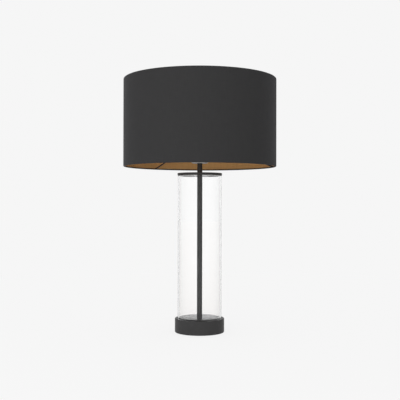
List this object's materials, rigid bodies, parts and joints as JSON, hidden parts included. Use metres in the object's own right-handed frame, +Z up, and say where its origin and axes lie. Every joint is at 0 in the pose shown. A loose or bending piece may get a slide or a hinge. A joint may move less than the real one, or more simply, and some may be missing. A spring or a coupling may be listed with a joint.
{
  "type": "table lamp",
  "caption": "Table lamp: drum shade with metallic lining on a clear glass column around a black rod, round weighted base, screw lampholder with push-bar switch.",
  "frame": {"origin": "on the table under the lamp's axis, at the middle of the foot's underside", "axes": "+Z up along the rod; -Y is the side the picture shows, +Y is the side of the cord inlet; +X is the switch bar's long end"},
  "size_m": [0.35, 0.35, 0.579],
  "materials": {
    "painted_base": "satin black powder coat over spun and turned steel",
    "foot_rubber": "matt black rubber sheet",
    "weight_iron": "bare casting",
    "zinc_steel": "zinc plated",
    "bush_plastic": "moulded black nylon",
    "gasket_rubber": "black rubber cord ring",
    "clear_glass": "clear drawn tube, fire-polished rims",
    "tube_black": "satin black lacquer",
    "holder_plastic": "white moulded thermoset",
    "core_ceramic": "unglazed steatite",
    "contact_brass": "bright strip and turned brass",
    "shade_fabric": "plain woven charcoal cotton on a stiff laminate",
    "lining_foil": "copper-gold metallised sheet",
    "frame_wire": "black coated steel wire",
    "cap_nickel": "nickel plated",
    "cap_insulator": "black cap glass",
    "bulb_white": "white moulded housing",
    "bulb_opal": "opal diffuser"
  },
  "bodies": {
    "stand": {"base_shell": "painted_base", "base_weight": "weight_iron", "base_foot": "foot_rubber", "cord_bush": "bush_plastic", "rod_washer": "zinc_steel", "rod_nut": "zinc_steel", "threaded_rod": "zinc_steel", "lower_gasket": "gasket_rubber", "glass_column": "clear_glass", "upper_gasket": "gasket_rubber", "lower_tube": "tube_black", "cap_disc": "painted_base", "neck_tube": "tube_black", "holder_dome": "holder_plastic", "set_screw": "zinc_steel", "holder_skirt": "holder_plastic", "holder_core": "core_ceramic", "screw_shell": "contact_brass", "centre_contact": "contact_brass", "terminals": "contact_brass", "terminal_screws": "zinc_steel"},
    "switch": {"switch_bar": "holder_plastic"},
    "shade": {"shade_cover": "shade_fabric", "shade_lining": "lining_foil", "lower_ring": "frame_wire", "upper_ring": "frame_wire", "spider_arms": "frame_wire", "fitter": "frame_wire"},
    "clamp_ring": {"shade_ring": "holder_plastic"},
    "bulb": {"bulb_tip": "zinc_steel", "bulb_insulator": "cap_insulator", "bulb_cap": "cap_nickel", "bulb_neck": "bulb_white", "bulb_globe": "bulb_opal"}
  },
  "joints": [
    {"name": "switch_push", "type": "slide", "parent": "stand", "child": "switch", "axis": [-1, 0, 0], "range_m": [0, 0.005]},
    {"name": "shade_swivel", "type": "hinge", "parent": "stand", "child": "shade", "pos_m": [0, 0, 0.431], "axis": [0, 0, 1], "continuous": true},
    {"name": "ring_turn", "type": "hinge", "parent": "stand", "child": "clamp_ring", "pos_m": [0, 0, 0.4365], "axis": [0, 0, 1], "range_deg": [0, 2520]},
    {"name": "bulb_turn", "type": "hinge", "parent": "stand", "child": "bulb", "pos_m": [0, 0, 0.444], "axis": [0, 0, 1], "range_deg": [0, 1800]}
  ]
}
